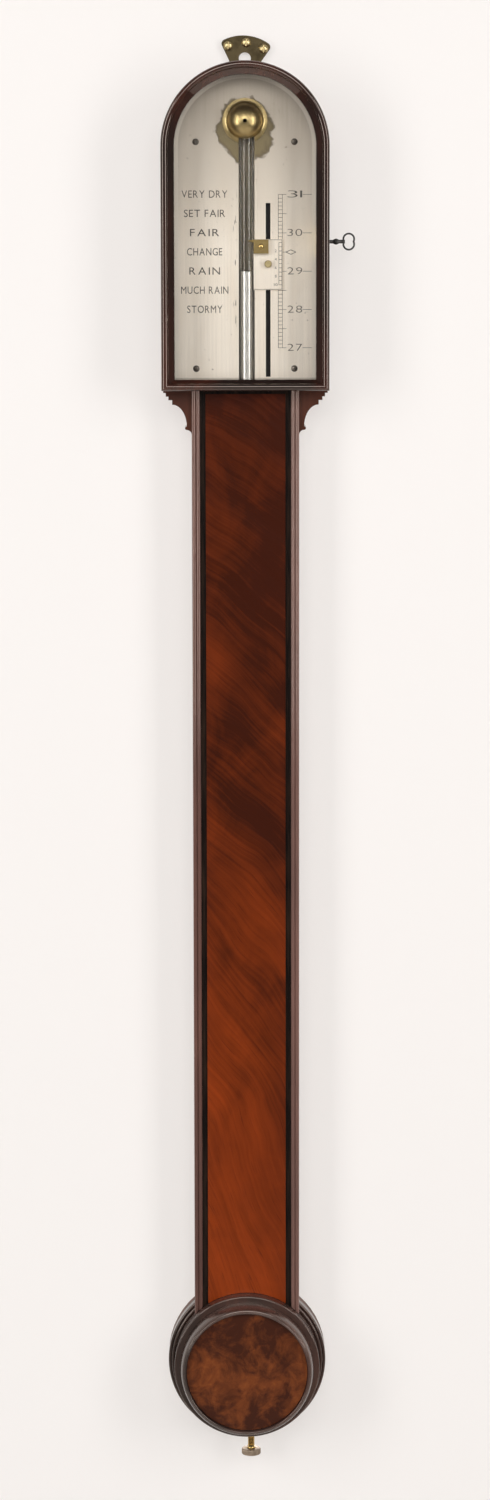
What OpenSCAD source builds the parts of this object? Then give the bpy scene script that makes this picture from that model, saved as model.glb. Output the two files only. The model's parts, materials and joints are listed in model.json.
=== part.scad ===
// Stick barometer: a long wooden case with a glazed, arched head over a silvered scale, a sliding
// vernier, a lock in the head's side, and a turned drum round the mercury cistern.
// Millimetres. Up is +Z, the front is -Y and the wall is the plane Y = 0. The origin is the centre of
// the hanging hole. Depths from the wall are called t in the comments below.

/* [Case] */
// Thickness of the backboard
board_t = 9; // [8.5:0.5:11]
// Width of the head case outside
head_w = 107; // [104:1:114]
// Wall of the head case
head_wall = 6.2; // [6:0.1:8]
// Depth of the head case from the wall
head_depth = 34; // [33.5:0.5:38]
// Drop from the hanging hole to the springing of the arch
arch_drop = 57.9; // [57.5:0.1:62]
// Height of the head's straight sides
head_side_h = 160.8; // [155:0.2:170]
// Thickness of the head's floor
head_floor = 7.2; // [7:0.1:9]

/* [Door] */
// Overhang of the door past the case, each side
door_overhang = 2.3; // [1.5:0.1:3]
// Width of the door's stiles
door_stile = 8.7; // [8:0.1:10]
// Thickness of the door
door_t = 11.8; // [10:0.1:14]
// Width of the half-round bead round the door
door_bead_w = 4.8; // [3.6:0.1:5.4]
// Thickness of the door's glass
glass_t = 2; // [1.5:0.1:2.5]
// Depth of the glass rabbet, sideways
rabbet_w = 2; // [1.5:0.1:2.3]

/* [Hinges] */
// Length of one hinge
hinge_l = 22; // [18:0.5:28]
// Radius of the hinge's knuckles
knuckle_r = 1; // [0.9:0.05:1.2]
// Radius of the hinge pin
hinge_pin_r = 0.5; // [0.4:0.05:0.6]
// Drop of the upper hinge below the springing
hinge_drop_top = 17; // [12:0.5:25]
// Rise of the lower hinge above the head's bottom
hinge_rise_low = 29; // [25:0.5:40]

/* [Register] */
// Thickness of the register plate
plate_t = 1.2; // [1:0.1:1.6]
// Depth of the wooden bed under the register plate
bed_t = 9.8; // [9.8:0.1:10.4]
// Radius of the plate screws' heads
plate_screw_r = 2.2; // [1.8:0.1:2.6]
// Distance of the plate screws from the centre line
plate_screw_x = 32.8; // [30:0.2:36]
// Drop of the lower plate screws below the springing
plate_screw_drop = 147.2; // [140:0.2:149]
// Distance of the vernier's slot from the centre line
slot_x = 15.3; // [14:0.1:17]
// Width of the vernier's slot
slot_w = 3.1; // [2.9:0.1:3.6]
// Length of the vernier's slot
slot_l = 115.3; // [105:0.5:115.5]
// Drop from the springing to the slot's upper end
slot_drop = 37.4; // [34:0.2:38]

/* [Tube] */
// Outer radius of the glass tube
tube_r = 4.7; // [4.2:0.1:5]
// Radius of the tube's bore
tube_bore_r = 3.9; // [2.5:0.1:4]
// Distance of the tube from the centre line
tube_x = 1; // [0:0.1:2]
// Depth of the tube's axis from the wall
tube_depth = 17; // [16.6:0.1:17.4]
// Drop from the springing to the top of the mercury
mercury_drop = 82.7; // [70:0.1:120]
// Radius of the dome cap's flared rim
dome_rim_r = 14.9; // [13.5:0.1:16]
// Radius of the dome itself
dome_r = 11.5; // [10.5:0.1:12.5]
// Height of the dome cap
dome_h = 13; // [10:0.1:13.2]
// Rise of the dome's centre above the springing
dome_rise = 16.7; // [15:0.1:20]

/* [Vernier] */
// Height of the vernier plate
vernier_h = 33.5; // [28:0.5:38]
// Width of the vernier plate
vernier_w = 19.2; // [17:0.2:22]
// Thickness of the vernier plate
vernier_t = 1.2; // [0.8:0.1:1.5]
// Drop from the springing to the vernier's upper edge
vernier_drop = 61.3; // [58:0.1:64]
// Width of the brass index block
block_w = 9.9; // [8:0.1:11]
// Height of the brass index block
block_h = 9.4; // [7:0.1:11]
// Radius of the vernier's knob
vernier_knob_r = 2.4; // [2:0.1:3]
// Drop of the knob below the vernier's upper edge
knob_drop = 16.3; // [14:0.1:20]

/* [Lock] */
// Drop from the springing to the key's axis
key_drop = 62.9; // [50:0.1:75]
// Depth of the key's axis from the wall
key_depth = 25; // [24.5:0.1:25.5]
// Radius of the key's shank
key_r = 1.24; // [1:0.02:1.4]
// Length of the key outside the case
key_l = 19.6; // [17:0.1:24]
// Height of the key's bow
bow_h = 11.8; // [10:0.1:14]
// Width of the key's bow, along the key
bow_w = 8.4; // [7.4:0.1:9.4]
// Thickness of the key's bow
bow_wire = 1.2; // [1:0.05:1.5]
// Thickness of the lock's turning bolt
bolt_t = 1.2; // [1:0.05:1.3]
// Width of the lock's turning bolt
bolt_w = 2.4; // [2:0.1:2.8]
// Height of the door's catch
catch_h = 4; // [3:0.1:5]

/* [Trunk] */
// Width of the trunk
trunk_w = 72; // [68:0.5:78]
// Depth of the trunk from the wall
trunk_depth = 27; // [26:0.2:28]
// Length of the trunk from the head to the centre of the drum
trunk_l = 671.6; // [600:1:720]
// Radius of the stile's two beads
stile_bead_r = 1.4; // [1.1:0.05:1.7]
// Width of the black stringing
string_w = 3.6; // [2.5:0.1:4.5]
// Thickness of the black stringing
string_t = 2.6; // [2:0.1:3]
// Thickness of the trunk's panel
panel_t = 3.8; // [3:0.1:4.2]
// Depth of the ledge that carries the panel, below the trunk's front
ledge_drop = 4.4; // [4.2:0.1:4.6]
// Width of the ledge under the panel's edge
ledge_w = 2.8; // [2:0.1:4]
// Height of the cross strip over the panel
cross_h = 3; // [2:0.1:5]

/* [Brackets] */
// Depth of the brackets and base mouldings from the wall
bracket_depth = 24; // [20:0.5:26]
// Reach of the base moulding's top step past the trunk
moulding_reach = 19; // [17:0.2:19.4]
// Height of one step of the base moulding
moulding_step_h = 2.4; // [2:0.1:3]
// Set-back of one step of the base moulding
moulding_step_w = 1.75; // [1:0.05:2.2]
// Reach of the bracket's ear past the trunk
ear_reach = 13; // [11.5:0.1:13.4]
// Radius of the bracket's cove
cove_r = 9.7; // [8.5:0.1:9.9]
// Height of the bracket's ear
ear_h = 3; // [2:0.1:5]

/* [Drum] */
// Radius of the drum's back ring
drum_r = 54.3; // [52.5:0.1:57]
// Depth of the drum's back ring from the wall
ring_depth = 20; // [19.8:0.1:20.5]
// Set-back of the drum's front part from the back ring's edge
cover_set = 4.3; // [3.5:0.1:6]
// Depth of the joint between drum and cover from the wall
cover_joint = 25; // [24:0.1:26]
// Depth of the drum's front rim from the wall
drum_depth = 51; // [50.5:0.1:54]
// Wall of the drum round its hollow
drum_wall = 10; // [9:0.1:11]
// Set-back of the burr disc's edge from the drum's front part
burr_set = 8.7; // [8.5:0.1:11]
// Thickness of the burr disc
burr_t = 3; // [2:0.1:3.5]
// Depth of the burr disc below the drum's rim
burr_drop = 3.5; // [2.5:0.1:4]

/* [Cistern] */
// Outer radius of the cistern
cistern_r = 13; // [12:0.1:13.4]
// Wall of the cistern
cistern_wall = 2.8; // [2.4:0.1:3.2]
// Distance of the cistern's axis from the centre line
cistern_x = 2.8; // [0:0.1:3]
// Depth of the cistern's axis from the wall
cistern_depth = 16; // [15.8:0.1:16.1]
// Drop of the cistern's lid below the top of the drum's hollow
lid_drop = 7.7; // [7:0.1:9]
// Thickness of the cistern's lid
lid_t = 4; // [3:0.1:5]
// Share of the cistern box that is air
air_share = 0.35; // [0.3:0.01:0.45]
// Share of the cistern box that the tube's end dips into the mercury
dip_share = 0.48; // [0.3:0.01:0.5]
// Height of the leather bag under the box
bag_h = 13; // [12:0.1:14]
// Thickness of the leather
leather_t = 1.2; // [1:0.1:1.5]
// Radius of the pressure pad
pad_r = 7.5; // [6:0.1:8]
// Thickness of the pressure pad
pad_t = 3; // [2.5:0.1:4]
// Radius of the portable screw's shank
screw_r = 2.4; // [2:0.1:2.6]
// Radius of the portable screw's head
screw_head_r = 6.6; // [5.5:0.1:7.5]
// Height of the portable screw's head
screw_head_h = 4.4; // [3.5:0.1:6]
// Travel of the portable screw
screw_travel = 5; // [3:0.1:5]
// Radius of the threaded bush
bush_r = 3.8; // [3.4:0.1:3.85]

/* [Hanger] */
// Thickness of the hanger plate
hanger_t = 2; // [1.5:0.1:3]
// Radius of the hanging hole
hang_r = 4; // [3:0.1:4]
// Half width of the hanger's fan
fan_hw = 16.3; // [15.6:0.1:18]
// Half width of the hanger's tail
tail_hw = 10.3; // [9:0.1:11]
// Rise of the fan's top above the hole
fan_rise = 15.1; // [14.5:0.1:17]
// Length of the hanger's tail below the hole
tail_l = 40; // [36:0.5:50]
// Lean of the hanger, clockwise from the front
hanger_lean = 5; // [0:0.5:6]
// Radius of the hanger screws' heads
hanger_screw_r = 3.2; // [2.6:0.1:3.4]

/* [Hidden] */
$fn = 64;

// Glue line between fitted pieces, running fit of pins and screws, and clearance of free pieces
fit = 0.1;
run = 0.05;
clear = 0.3;
// Overrun of a cut past the face that it opens
over = 1;

// Heights and half widths of the head
head_r = head_w / 2;
inner_r = head_r - head_wall;
arch_z = -arch_drop;
head_z = arch_z - head_side_h;
floor_z = head_z + head_floor;

// The door: half widths of its outside and its opening, depths of its back, front and glass
door_r = head_r + door_overhang;
open_r = door_r - door_stile;
door_gap = 0.2;
door_back = head_depth + door_gap;
door_front = door_back + door_t;
bead_base = door_front - door_bead_w / 2;
bead_step = 1.2;
flat_fall = 2.6;
glazing_t = 1.8;
glass_back = door_back + glazing_t;
glass_front = glass_back + glass_t;
rabbet_r = open_r + rabbet_w;

// Hinges
leaf_t = 0.8;
leaf_l = 4.8;
hinge_x = -(head_r + clear + knuckle_r);
hinge_depth = door_back - clear - knuckle_r;
hinge_zs = [arch_z - hinge_drop_top, head_z + hinge_rise_low];
knuckle_gap = 0.3;
knuckle_l = (hinge_l - 2 * knuckle_gap) / 3;

// Register plate and what lies on it
plate_back = board_t + bed_t;
plate_front = plate_back + plate_t;
plate_r = inner_r - fit;
plate_screw_h = 0.9;
plate_screw_shank_r = 1;
plate_screw_l = 7;
plate_screw_rise = 2.9;
channel_room = 0.6;
channel_hw = tube_r + channel_room;
channel_floor = tube_depth - tube_r - channel_room;
channel_end = 2;
slot_top = arch_z - slot_drop;
slot_bottom = slot_top - slot_l;
groove_hw = 4;
groove_d = 4;

// Dome cap
dome_z = arch_z + dome_rise;
dome_skin = 0.8;
dome_eye_r = 1.4;
dome_foot = 3;

// Tube and cistern heights, from the drum's hollow
drum_z = head_z - trunk_l;
cover_r = drum_r - cover_set;
hollow_r = cover_r - drum_wall;
pad_room = 9.3;
lid_top = drum_z + hollow_r - lid_drop;
lid_plug = 2;
box_top = lid_top - lid_t;
box_bottom = drum_z - hollow_r + pad_room + pad_t + bag_h;
cistern_h = box_top - box_bottom;
surface_z = box_top - air_share * cistern_h;
tube_tuck = 3;
tube_top = dome_z - tube_tuck;
tube_end = surface_z - dip_share * cistern_h;
mercury_top = arch_z - mercury_drop;
mercury_r = tube_bore_r - run;
bag_bottom = box_bottom - bag_h;
collar_h = 6;
pad_bottom = bag_bottom - pad_t;
bush_stand = 2;
bush_lip = 0.3;
screw_reach = 4.2;
bush_top = drum_z - hollow_r + bush_stand;
bush_bottom = drum_z - drum_r - bush_lip;
screw_head_top = bush_bottom - screw_travel - screw_reach;
box_in_r = cistern_r - cistern_wall;
recess_foot = 3;

// Vernier
vernier_top = arch_z - vernier_drop;
vernier_x = tube_x + tube_r - run;
vernier_back = plate_front + fit;
vernier_front = vernier_back + vernier_t;
knob_z = vernier_top - knob_drop;
knob_shank_r = slot_w / 2 - clear;
nut_room = 1;
nut_r = groove_hw - nut_room;
nut_t = 2.2;
pointer_back = max(vernier_front, tube_depth + tube_r + clear);
block_rise = 2.4;
block_front = pointer_back + block_rise;
pointer_set = 1;
knob_t = 3.4;

// Lock: the key's axis, the bolt that turns with the key, and the hooked catch on the door
key_z = arch_z - key_drop;
lock_wall = 0.8;
lock_front = head_depth - lock_wall;
bit_r = 3.2;
bit_t = 1.6;
bit_margin = 0.1;
boss_r = bit_r + lock_wall;
bolt_x = inner_r + lock_wall + 2 * bit_margin;
bolt_l = lock_front - key_depth - 2 * clear;
lock_back = key_depth - boss_r - 2 * clear;
key_neck = 5;
bulb_l = 3.9;
bulb_swell = 0.76;
arm_x = bolt_x + bolt_t + clear;
arm_t = 1.2;
hook_t = 1.2;
catch_z0 = key_z + boss_r + clear;
catch_z1 = catch_z0 + catch_h;
catch_back = key_depth - bolt_w / 2 - clear - hook_t;
catch_foot = 2;
lock_h = catch_z1 + 2 * clear - key_z;
// The catch swings outwards by this much as the door starts to open
swing_room = 0.8;
lock_far = arm_x + arm_t + swing_room;

// Trunk
trunk_r = trunk_w / 2;
bead_zone = 4 * stile_bead_r;
string_out = trunk_r - bead_zone;
string_in = string_out - string_w;
panel_r = string_in - fit;
stile_in = string_in - ledge_w;
ledge_t = trunk_depth - ledge_drop;
stile_face = trunk_depth - stile_bead_r;
stile_foot = drum_z + drum_r / 2;

// Drum
drum_gap = 0.2;
ring_step = 2.5;
burr_front = drum_depth - burr_drop;
burr_back = burr_front - burr_t;
burr_r = cover_r - burr_set;
rim_in = burr_r + clear;
rim_r = 0.9;
band_depth = 36;
band_edge_r = 1;
step_w = 3.9;
cover_floor = 2.5;
roof_chamfer = 7;

// Hanger, drawn upright and then leant about the hole
fan_corner_r = 3;
fan_top_r = 30;
fan_turn = 20;
tail_turn_z = -2.3;
fan_screw_x = 11.8;
fan_screw_z = 7.4;
fan_screw_mid_z = 10.5;
tail_screw_zs = [-17, -32];
hanger_head_h = 1.8;
hanger_shank_r = 1.5;
tail_head_r = 3;
tail_screw_l = 6.5;

// Points along an arc from angle a0 to a1
function arc(cx, cy, r, a0, a1, n = 8) =
    [for (i = [0:n]) let (a = a0 + (a1 - a0) * i / n) [cx + r * cos(a), cy + r * sin(a)]];

// A flat shape in X and Z, given thickness from depth t0 to depth t1
module slab(t0, t1) {
    translate([0, -t0, 0])
        rotate([90, 0, 0])
            linear_extrude(t1 - t0)
                children();
}

// A profile in radius and depth, turned about an axis that points to the front
module turned(x, z, sweep = 360) {
    translate([x, 0, z])
        rotate([90, 0, 0])
            rotate_extrude(angle = sweep)
                children();
}

// A profile in X and depth, run up from z0 to z1
module run_up(z0, z1) {
    translate([0, 0, z0])
        linear_extrude(z1 - z0)
            mirror([0, 1])
                children();
}

// A profile in height and depth, run across from x0 to x1
module run_across(x0, x1) {
    translate([x0, 0, 0])
        rotate([180, -90, 0])
            linear_extrude(x1 - x0)
                children();
}

// A round upright piece at a place in X and depth
module post(x, t, z0, z1, r) {
    translate([x, -t, z0])
        cylinder(h = z1 - z0, r = r);
}

// A round piece that points to the front
module peg(x, z, t0, t1, r) {
    translate([x, -t0, z])
        rotate([90, 0, 0])
            cylinder(h = t1 - t0, r = r);
}

// A round piece that points to the right
module bar(t, z, x0, x1, r) {
    translate([x0, -t, z])
        rotate([0, 90, 0])
            cylinder(h = x1 - x0, r = r);
}

// A block between two corners, each given as x, depth and z
module block(x0, x1, t0, t1, z0, z1) {
    translate([x0, -t1, z0])
        cube([x1 - x0, t1 - t0, z1 - z0]);
}

// The head's arched outline
module arch_shape(r, bottom) {
    translate([0, arch_z])
        circle(r);
    translate([-r, bottom])
        square([2 * r, arch_z - bottom]);
}

// A round screw head with a slot, seated at depth t
module round_head(x, z, t, r, h) {
    ball_r = (r * r + h * h) / (2 * h);
    slot_half = r / 8;
    slot_floor = 0.55 * h;
    difference() {
        intersection() {
            translate([x, -(t + h - ball_r), z])
                sphere(ball_r);
            peg(x, z, t, t + h + over, r + over);
        }
        block(x - slot_half, x + slot_half, t + slot_floor, t + h + over, z - r, z + r);
    }
}

// Half of the drum's outline plus a gap, which the trunk's pieces are cut to
module drum_cut() {
    turned(0, drum_z)
        polygon([
            [0, 0],
            [drum_r + drum_gap, 0],
            [drum_r + drum_gap, ring_depth + drum_gap],
            [cover_r + drum_gap, ring_depth + drum_gap],
            [cover_r + drum_gap, drum_depth],
            [0, drum_depth]
        ]);
}

module hanger_shape() {
    corner = fan_hw - fan_corner_r;
    lift = sqrt(pow(fan_top_r - fan_corner_r, 2) - corner * corner);
    mid = fan_rise - fan_top_r;
    turn = atan2(lift, corner);
    right = concat(
        [[tail_hw, -tail_l], [tail_hw, tail_turn_z]],
        arc(corner, mid + lift, fan_corner_r, -fan_turn, turn, 6)
    );
    crown = arc(0, mid, fan_top_r, turn, 180 - turn, 12);
    left = [for (i = [len(right) - 1:-1:0]) [-right[i][0], right[i][1]]];
    rotate(-hanger_lean)
        polygon(concat(right, crown, left));
}

module at_hanger(x, z) {
    rotate([0, hanger_lean, 0])
        translate([x, 0, z])
            children();
}

// A countersunk screw driven in from the back, wider by slack and longer by lead at both ends
module tail_screw(slack, lead) {
    turned(0, 0)
        polygon([
            [0, -lead],
            [tail_head_r + slack, -lead],
            [tail_head_r + slack, 0],
            [hanger_shank_r + slack, tail_head_r - hanger_shank_r],
            [hanger_shank_r + slack, tail_screw_l + lead / 2],
            [0, tail_screw_l + lead / 2]
        ]);
}

module backboard() {
    color("saddlebrown")
        difference() {
            slab(0, board_t) {
                arch_shape(head_r, head_z);
                translate([-trunk_r, drum_z])
                    square([2 * trunk_r, trunk_l + over]);
                translate([0, drum_z])
                    circle(drum_r);
            }
            slab(-over, hanger_t)
                rotate(-hanger_lean)
                    translate([-tail_hw - fit, -tail_l - fit])
                        square([2 * (tail_hw + fit), tail_l]);
            post(cistern_x, cistern_depth, pad_bottom - recess_foot, lid_top + fit, cistern_r + fit);
            for (z = tail_screw_zs)
                at_hanger(0, z)
                    tail_screw(run, over);
        }
}

module head_case() {
    color("#3a221a")
        difference() {
            slab(board_t, head_depth)
                arch_shape(head_r, head_z);
            slab(board_t - over, head_depth + over)
                arch_shape(inner_r, floor_z);
            post(tube_x, tube_depth, head_z - over, floor_z + over, tube_r + fit);
            lock_mortise();
            keyhole();
            for (z = hinge_zs)
                block(-head_r - over, hinge_x + leaf_l + fit, head_depth - leaf_t, head_depth + over,
                    z - hinge_l / 2 - fit, z + hinge_l / 2 + fit);
        }
}

// The lock's recess in the right wall, open to the front for the door's catch
module lock_mortise() {
    block(inner_r - over, lock_far + fit, lock_back - lock_wall - fit, head_depth + over,
        key_z - lock_h - lock_wall - fit, key_z + lock_h + lock_wall + fit);
}

module keyhole() {
    hole_r = key_r + clear;
    bar(key_depth, key_z, inner_r, head_r + over, hole_r);
    block(inner_r, head_r + over, key_depth - bit_r - clear, key_depth,
        key_z - bit_t / 2 - clear, key_z + bit_t / 2 + clear);
}

module plate_bed() {
    color("#5a4030")
        difference() {
            slab(board_t, plate_back)
                arch_shape(plate_r, floor_z + fit);
            block(tube_x - channel_hw, tube_x + channel_hw, channel_floor, plate_back + over,
                head_z, tube_top + channel_end);
            block(slot_x - groove_hw, slot_x + groove_hw, plate_back - groove_d, plate_back + over,
                slot_bottom - groove_hw, slot_top + groove_hw);
            plate_screw_places()
                peg(0, 0, plate_back - plate_screw_l, plate_back + over, plate_screw_shank_r + run);
        }
}

module plate_screw_places() {
    for (x = [-plate_screw_x, plate_screw_x])
        for (z = [arch_z + plate_screw_rise, arch_z - plate_screw_drop])
            translate([x, 0, z])
                children();
}

module register_plate() {
    color("#e9e2cd")
        difference() {
            slab(plate_back, plate_front)
                arch_shape(plate_r, floor_z + fit);
            slab(plate_back - over, plate_front + over) {
                translate([tube_x - channel_hw, head_z])
                    square([2 * channel_hw, tube_top + channel_end - head_z]);
                translate([slot_x - slot_w / 2, slot_bottom])
                    square([slot_w, slot_l]);
            }
            plate_screw_places()
                peg(0, 0, plate_back - over, plate_front + over, plate_screw_shank_r + run);
        }
}

module plate_screws() {
    color("#4a4038")
        plate_screw_places() {
            round_head(0, 0, plate_front, plate_screw_r, plate_screw_h);
            peg(0, 0, plate_back - plate_screw_l, plate_front, plate_screw_shank_r);
        }
}

module dome_cap() {
    foot = plate_front;
    rise = dome_h - dome_foot;
    top_turn = acos(dome_eye_r / dome_r);
    outer = [for (i = [0:10]) let (a = top_turn * i / 10)
        [dome_r * cos(a), foot + dome_foot + rise * sin(a)]];
    inner = [for (i = [10:-1:0]) let (a = top_turn * i / 10)
        [max(dome_eye_r, (dome_r - dome_skin) * cos(a)), foot + dome_foot + (rise - dome_skin) * sin(a)]];
    flare = arc(dome_rim_r, foot + dome_foot, dome_foot - dome_skin, -90, -180, 6);
    squeeze = (dome_rim_r - dome_r) / (dome_foot - dome_skin);
    rim = [for (p = flare) [dome_rim_r - (dome_rim_r - p[0]) * squeeze, p[1]]];
    notch = channel_hw;
    color("#c9a24a")
        difference() {
            turned(0, dome_z)
                polygon(concat([[dome_r - dome_skin, foot], [dome_rim_r, foot]], rim, outer, inner));
            block(tube_x - notch, tube_x + notch, foot - over, tube_depth + tube_r + clear,
                dome_z - dome_rim_r - over, dome_z);
        }
}

module glass_tube() {
    color("#cfd8d8", 0.5)
        difference() {
            union() {
                post(tube_x, tube_depth, tube_end, tube_top - tube_r, tube_r);
                translate([tube_x, -tube_depth, tube_top - tube_r])
                    sphere(tube_r);
            }
            post(tube_x, tube_depth, tube_end - over, tube_top - tube_r, tube_bore_r);
            translate([tube_x, -tube_depth, tube_top - tube_r])
                sphere(tube_bore_r);
        }
}

module mercury_column() {
    color("#b9bcc0")
        post(tube_x, tube_depth, tube_end, mercury_top, mercury_r);
}

module vernier_plate() {
    color("#e6dfca")
        difference() {
            block(vernier_x, vernier_x + vernier_w, vernier_back, vernier_front,
                vernier_top - vernier_h, vernier_top);
            peg(slot_x, knob_z, vernier_back - over, vernier_front + over, knob_shank_r + run);
        }
}

module pointer_block() {
    tip_h = 2;
    color("#c8a04c") {
        block(vernier_x, vernier_x + block_w, vernier_front, block_front,
            vernier_top - block_h, vernier_top - fit);
        slab(pointer_back, block_front - pointer_set)
            polygon([
                [vernier_x, vernier_top - fit],
                [tube_x, vernier_top - tip_h / 2],
                [vernier_x, vernier_top - fit - tip_h]
            ]);
    }
}

module vernier_knob() {
    turn_in = 0.4;
    color("#d4ae58") {
        turned(slot_x, knob_z)
            polygon([
                [0, vernier_front],
                [vernier_knob_r - turn_in, vernier_front],
                [vernier_knob_r, vernier_front + turn_in],
                [vernier_knob_r, vernier_front + knob_t - turn_in],
                [vernier_knob_r - turn_in, vernier_front + knob_t],
                [0, vernier_front + knob_t]
            ]);
        peg(slot_x, knob_z, plate_back - fit - nut_t, vernier_front, knob_shank_r);
    }
}

module vernier_nut() {
    color("#b08d45")
        difference() {
            peg(slot_x, knob_z, plate_back - fit - nut_t, plate_back - fit, nut_r);
            peg(slot_x, knob_z, plate_back - over - nut_t, plate_back + over, knob_shank_r + run);
        }
}

module lock_box() {
    color("#b08d45")
        difference() {
            block(inner_r, lock_far, lock_back - lock_wall, head_depth,
                key_z - lock_h - lock_wall, key_z + lock_h + lock_wall);
            block(inner_r + lock_wall, lock_far + over, lock_back, lock_front,
                key_z - lock_h, key_z + lock_h);
            block(bolt_x - fit, lock_far + over, lock_front - over, head_depth + over,
                catch_z0 - clear, catch_z1 + clear);
            bar(key_depth, key_z, inner_r - over, lock_far, key_r + run);
        }
}

// A turning bolt: the key's bit fits the slot in its boss, and its tongue swings up behind the catch
module lock_bolt() {
    far = bolt_x + bolt_t;
    tip = key_depth + bolt_l - bolt_w / 2;
    color("#8a7a5a")
        difference() {
            union() {
                bar(key_depth, key_z, bolt_x, far, boss_r);
                block(bolt_x, far, key_depth, tip, key_z - bolt_w / 2, key_z + bolt_w / 2);
                bar(tip, key_z, bolt_x, far, bolt_w / 2);
            }
            bar(key_depth, key_z, bolt_x - over, far + over, key_r + run);
            block(bolt_x - over, far + over, key_depth - bit_r - run, key_depth,
                key_z - bit_t / 2 - run, key_z + bit_t / 2 + run);
        }
}

module door_catch() {
    color("#b08d45") {
        block(arm_x, arm_x + arm_t, catch_back, door_back, catch_z0, catch_z1);
        block(bolt_x, arm_x + arm_t, catch_back, catch_back + hook_t, catch_z0, catch_z1);
        block(arm_x, door_r - catch_foot, door_back, door_back + leaf_t,
            catch_z0 - catch_foot, catch_z1 + catch_foot);
    }
}

module key() {
    bulb_x = head_r + key_neck;
    lobe_r = (bow_w - bow_wire) / 2;
    lobe_off = (bow_h - bow_w) / 2;
    lobe_turn = asin(lobe_off / lobe_r);
    cusp = lobe_r * cos(lobe_turn);
    bow_x = head_r + key_l - bow_w / 2;
    color("#4b4a48") {
        bar(key_depth, key_z, inner_r + lock_wall / 4, bow_x - cusp + bow_wire / 2, key_r);
        block(bolt_x - bit_margin, bolt_x + bolt_t + bit_margin, key_depth - bit_r, key_depth,
            key_z - bit_t / 2, key_z + bit_t / 2);
        translate([bulb_x, -key_depth, key_z])
            rotate([0, 90, 0])
                rotate_extrude()
                    polygon(concat([[0, 0]], [for (i = [0:8]) let (a = 180 * i / 8)
                        [key_r + bulb_swell * sin(a), bulb_l * i / 8]], [[0, bulb_l]]));
        for (side = [0, 1])
            mirror([0, 0, side])
                translate([bow_x, -key_depth, lobe_off + (side == 0 ? key_z : -key_z)])
                    rotate([90, 0, 0])
                        rotate(-lobe_turn)
                            rotate_extrude(angle = 180 + 2 * lobe_turn)
                                translate([lobe_r, 0])
                                    circle(bow_wire / 2);
        translate([bow_x + cusp, -key_depth, key_z])
            sphere(bow_wire / 2);
    }
}

module hinge_knuckle(z0, z1) {
    post(hinge_x, hinge_depth, z0, z1, knuckle_r);
}

module hinge_leaves_case() {
    color("#a98a48")
        for (z = hinge_zs)
            difference() {
                union() {
                    block(hinge_x, hinge_x + leaf_l, head_depth - leaf_t, head_depth,
                        z - hinge_l / 2, z + hinge_l / 2);
                    hinge_knuckle(z - hinge_l / 2, z - hinge_l / 2 + knuckle_l);
                    hinge_knuckle(z + hinge_l / 2 - knuckle_l, z + hinge_l / 2);
                }
                post(hinge_x, hinge_depth, z - knuckle_l / 2 - knuckle_gap, z + knuckle_l / 2 + knuckle_gap,
                    knuckle_r + clear);
                post(hinge_x, hinge_depth, z - hinge_l, z + hinge_l, hinge_pin_r + run);
            }
}

module hinge_leaves_door() {
    color("#a98a48")
        for (z = hinge_zs)
            difference() {
                union() {
                    block(hinge_x - leaf_t / 2, hinge_x + leaf_l, door_back, door_back + leaf_t,
                        z - hinge_l / 2, z + hinge_l / 2);
                    block(hinge_x - leaf_t / 2, hinge_x + leaf_t / 2, hinge_depth, door_back + leaf_t / 2,
                        z - knuckle_l / 2, z + knuckle_l / 2);
                    hinge_knuckle(z - knuckle_l / 2, z + knuckle_l / 2);
                }
                post(hinge_x, hinge_depth, z - hinge_l, z + hinge_l, hinge_pin_r + run);
            }
}

module hinge_pins() {
    color("#8c7440")
        for (z = hinge_zs)
            post(hinge_x, hinge_depth, z - hinge_l / 2, z + hinge_l / 2, hinge_pin_r);
}

// The door's moulding: a half-round bead outside and a falling flat inside, w wide
module door_profile(w) {
    polygon([
        [0, door_back],
        [w, door_back],
        [w, bead_base],
        [w - door_bead_w, bead_base],
        [w - door_bead_w, bead_base - bead_step],
        [0, bead_base - bead_step - flat_fall]
    ]);
    translate([w - door_bead_w / 2, bead_base])
        circle(door_bead_w / 2);
}

// The mitred region of the right stile and of the bottom rail
module stile_region() {
    polygon([
        [door_r, head_z],
        [door_r - door_bead_w, head_z + door_bead_w],
        [open_r, floor_z],
        [open_r, arch_z],
        [door_r, arch_z]
    ]);
}

module rail_region() {
    polygon([
        [-door_r, head_z],
        [door_r, head_z],
        [door_r - door_bead_w, head_z + door_bead_w],
        [open_r, floor_z],
        [-open_r, floor_z],
        [-door_r + door_bead_w, head_z + door_bead_w]
    ]);
}

module door_stile_right() {
    intersection() {
        run_up(head_z, arch_z)
            translate([open_r, 0])
                door_profile(door_stile);
        slab(door_back - over, door_front + over)
            stile_region();
    }
}

module door_frame() {
    color("#38211b")
        difference() {
            union() {
                turned(0, arch_z, 180)
                    translate([open_r, 0])
                        door_profile(door_stile);
                door_stile_right();
                mirror([1, 0, 0])
                    door_stile_right();
                intersection() {
                    run_across(-door_r, door_r)
                        rail_profile();
                    slab(door_back - over, door_front + over)
                        rail_region();
                }
            }
            slab(door_back - over, glass_front)
                arch_shape(rabbet_r, floor_z - rabbet_w);
            for (z = hinge_zs)
                block(hinge_x - leaf_t / 2 - fit, hinge_x + leaf_l + fit,
                    door_back - over, door_back + leaf_t,
                    z - hinge_l / 2 - fit, z + hinge_l / 2 + fit);
            block(arm_x - fit, door_r - catch_foot + fit, door_back - over, door_back + leaf_t,
                catch_z0 - catch_foot - fit, catch_z1 + catch_foot + fit);
        }
}

// The bottom rail's moulding in height and depth
module rail_profile() {
    translate([floor_z, 0])
        mirror([1, 0])
            door_profile(head_floor);
}

module door_glass() {
    color("#dfe8e8", 0.3)
        slab(glass_back, glass_front)
            arch_shape(rabbet_r - fit, floor_z - rabbet_w + fit);
}

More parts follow.
